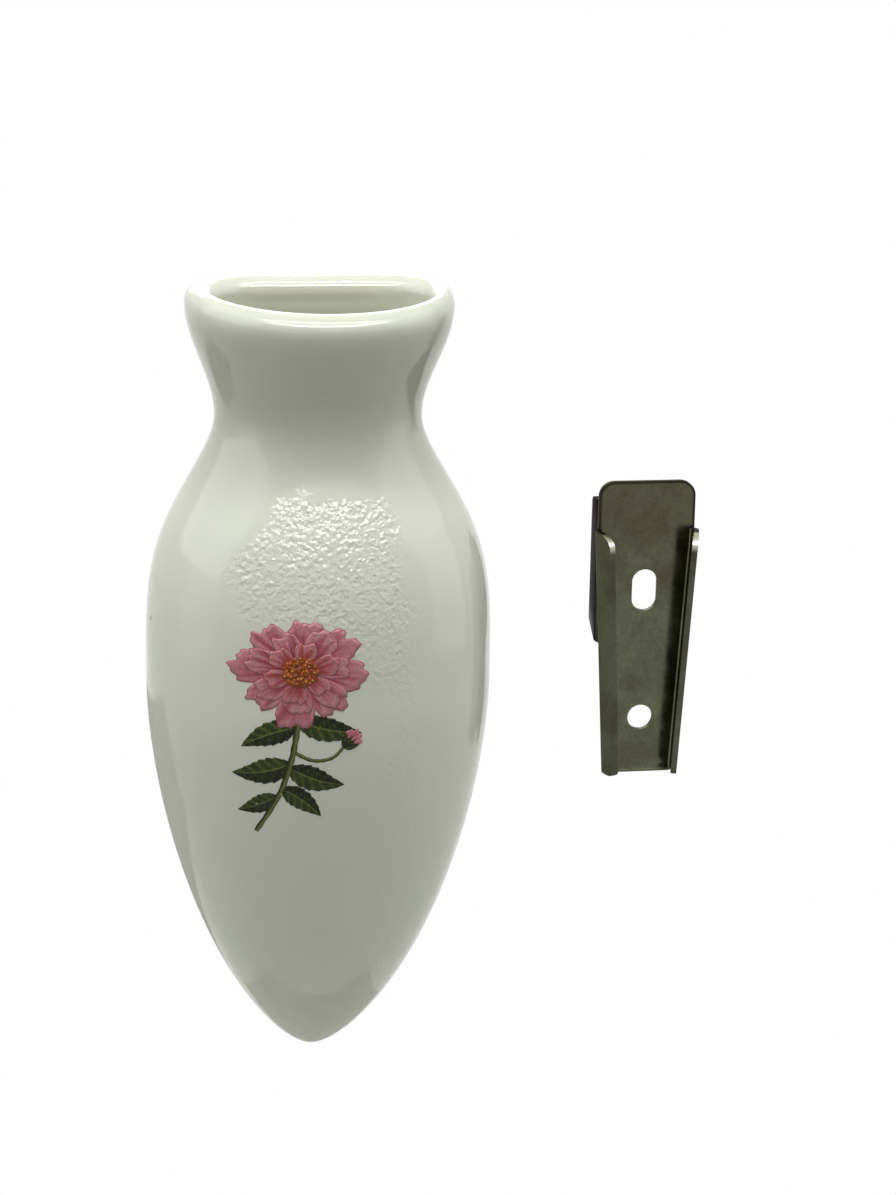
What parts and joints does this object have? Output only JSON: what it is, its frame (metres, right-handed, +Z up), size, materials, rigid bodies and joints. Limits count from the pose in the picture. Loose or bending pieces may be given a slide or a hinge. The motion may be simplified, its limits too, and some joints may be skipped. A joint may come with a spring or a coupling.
{
  "type": "car bud vase",
  "caption": "Flat-backed porcelain bud vase with a pointed foot, beside the tapered steel dash bracket that its rear tongue slides down into.",
  "frame": {"origin": "middle of the back face of the dovetail tongue on the back of the vase, the face that bears on the bracket", "axes": "+Z up along the vase from its pointed foot to its mouth, +Y out of the vase's flat back towards the dash, the flowered front faces -Y, +X towards the loose bracket"},
  "size_m": [0.1082, 0.0553, 0.15],
  "materials": {
    "porcelain": "glossy off-white glaze with a faint green-grey tinge and a pebbled patch",
    "channel_steel": "dull mottled grey-olive steel with bright worn edges",
    "saddle_steel": "dull grey steel"
  },
  "bodies": {
    "vase": {"vase_body": "porcelain"},
    "saddle": {"bracket_saddle": "saddle_steel"},
    "channel": {"bracket_channel": "channel_steel"}
  },
  "joints": [
    {"name": "bracket_shift", "type": "slide", "parent": "vase", "child": "saddle", "axis": [-1, 0, 0], "range_m": [0, 0.0663]},
    {"name": "channel_slide", "type": "slide", "parent": "saddle", "child": "channel", "axis": [0, 0, 1], "range_m": [0, 0.0376]}
  ]
}
